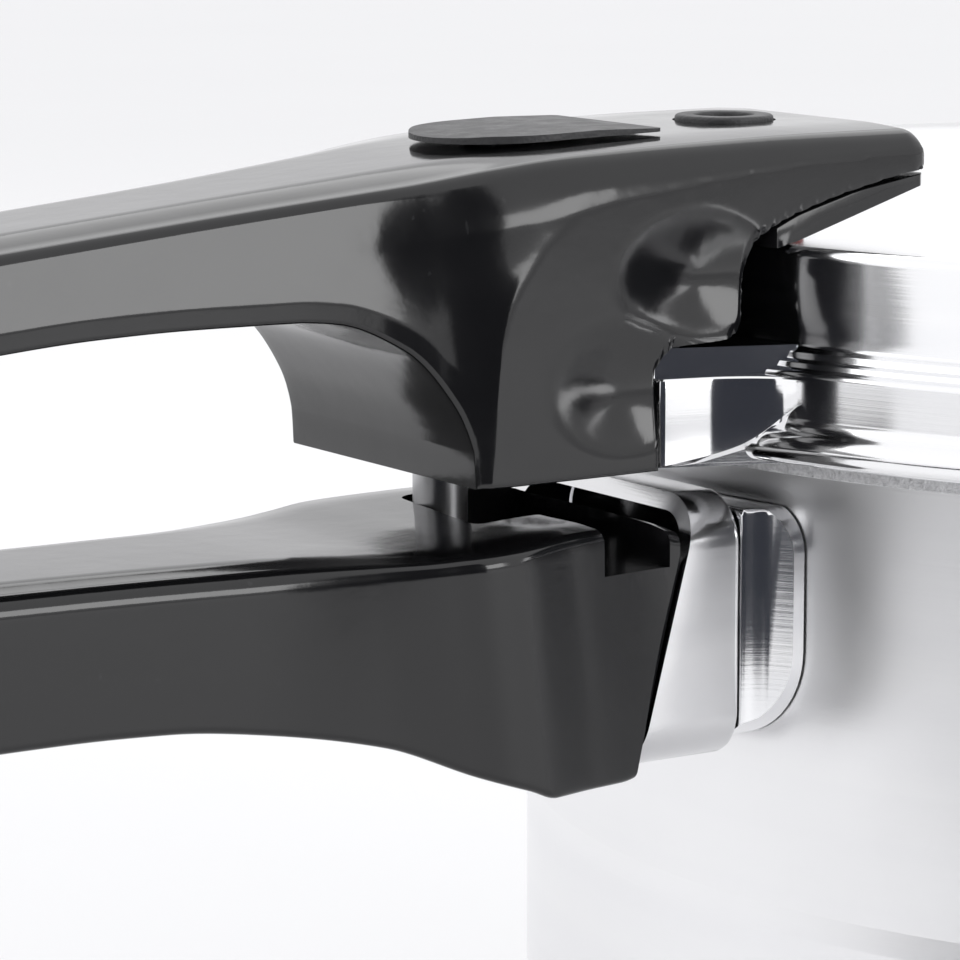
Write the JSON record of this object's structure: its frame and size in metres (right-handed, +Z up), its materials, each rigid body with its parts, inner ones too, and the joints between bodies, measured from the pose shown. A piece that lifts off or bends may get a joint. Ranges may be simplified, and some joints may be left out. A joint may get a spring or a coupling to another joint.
{
  "type": "stovetop pressure cooker",
  "caption": "Aluminium stovetop pressure cooker with a bayonet lid, long black twin handles, a sliding handle lock, a pressure weight and a float.",
  "frame": {"origin": "centre of the pot's flat bottom", "axes": "+Z up along the pot's axis; the two long handles run along -X and the helper handle along +X"},
  "size_m": [0.459, 0.2416, 0.1974],
  "materials": {
    "satin_aluminium": "satin, brushed round the wall",
    "polished_aluminium": "polished",
    "black_phenolic": "gloss moulding",
    "matt_black": "fine grain",
    "steel": "satin",
    "grey_rubber": "matt",
    "brass": "turned",
    "red_plastic": "matt"
  },
  "bodies": {
    "root": {"pot_body": "satin_aluminium", "handle_bracket": "polished_aluminium", "bracket_rivet_1": "polished_aluminium", "bracket_rivet_2": "polished_aluminium", "guard_collar": "polished_aluminium", "body_handle": "black_phenolic", "body_handle_screw": "steel", "helper_bracket": "polished_aluminium", "helper_rivet_1": "polished_aluminium", "helper_rivet_2": "polished_aluminium", "helper_handle": "black_phenolic", "helper_handle_screw": "steel"},
    "seal": {"sealing_ring": "grey_rubber"},
    "lid": {"lid_shell": "polished_aluminium", "lid_handle": "black_phenolic", "handle_base": "black_phenolic", "lid_handle_screw_1": "steel", "lid_handle_screw_2": "steel", "window_ring": "matt_black", "vent_pipe": "steel", "vent_seal": "grey_rubber", "vent_nut": "steel", "vent_cap": "steel", "safety_valve_body": "brass", "safety_valve_plug": "red_plastic", "safety_valve_seal": "grey_rubber", "safety_valve_nut": "brass", "float_seat": "grey_rubber"},
    "lock": {"slider_button": "matt_black", "slider_carriage": "matt_black", "lock_bar": "steel"},
    "weight": {"pressure_weight": "steel", "weight_cover": "black_phenolic"},
    "float": {"float_pin": "red_plastic", "float_clip": "steel"}
  },
  "joints": [
    {"name": "lid_lift", "type": "slide", "parent": "root", "child": "seal", "axis": [0, 0, 1], "range_m": [0, 0.12]},
    {"name": "lid_turn", "type": "hinge", "parent": "seal", "child": "lid", "pos_m": [0, 0, 0.14], "axis": [0, 0, 1], "range_deg": [0, 90]},
    {"name": "lock_slide", "type": "slide", "parent": "lid", "child": "lock", "axis": [1, 0, 0], "range_m": [0, 0.0084], "stiffness_N_per_m": 350, "springref_m": -0.003},
    {"name": "weight_lift", "type": "slide", "parent": "lid", "child": "weight", "axis": [0, 0, 1], "range_m": [0, 0.02]},
    {"name": "float_rise", "type": "slide", "parent": "lid", "child": "float", "axis": [0, 0, 1], "range_m": [0, 0.004]}
  ]
}
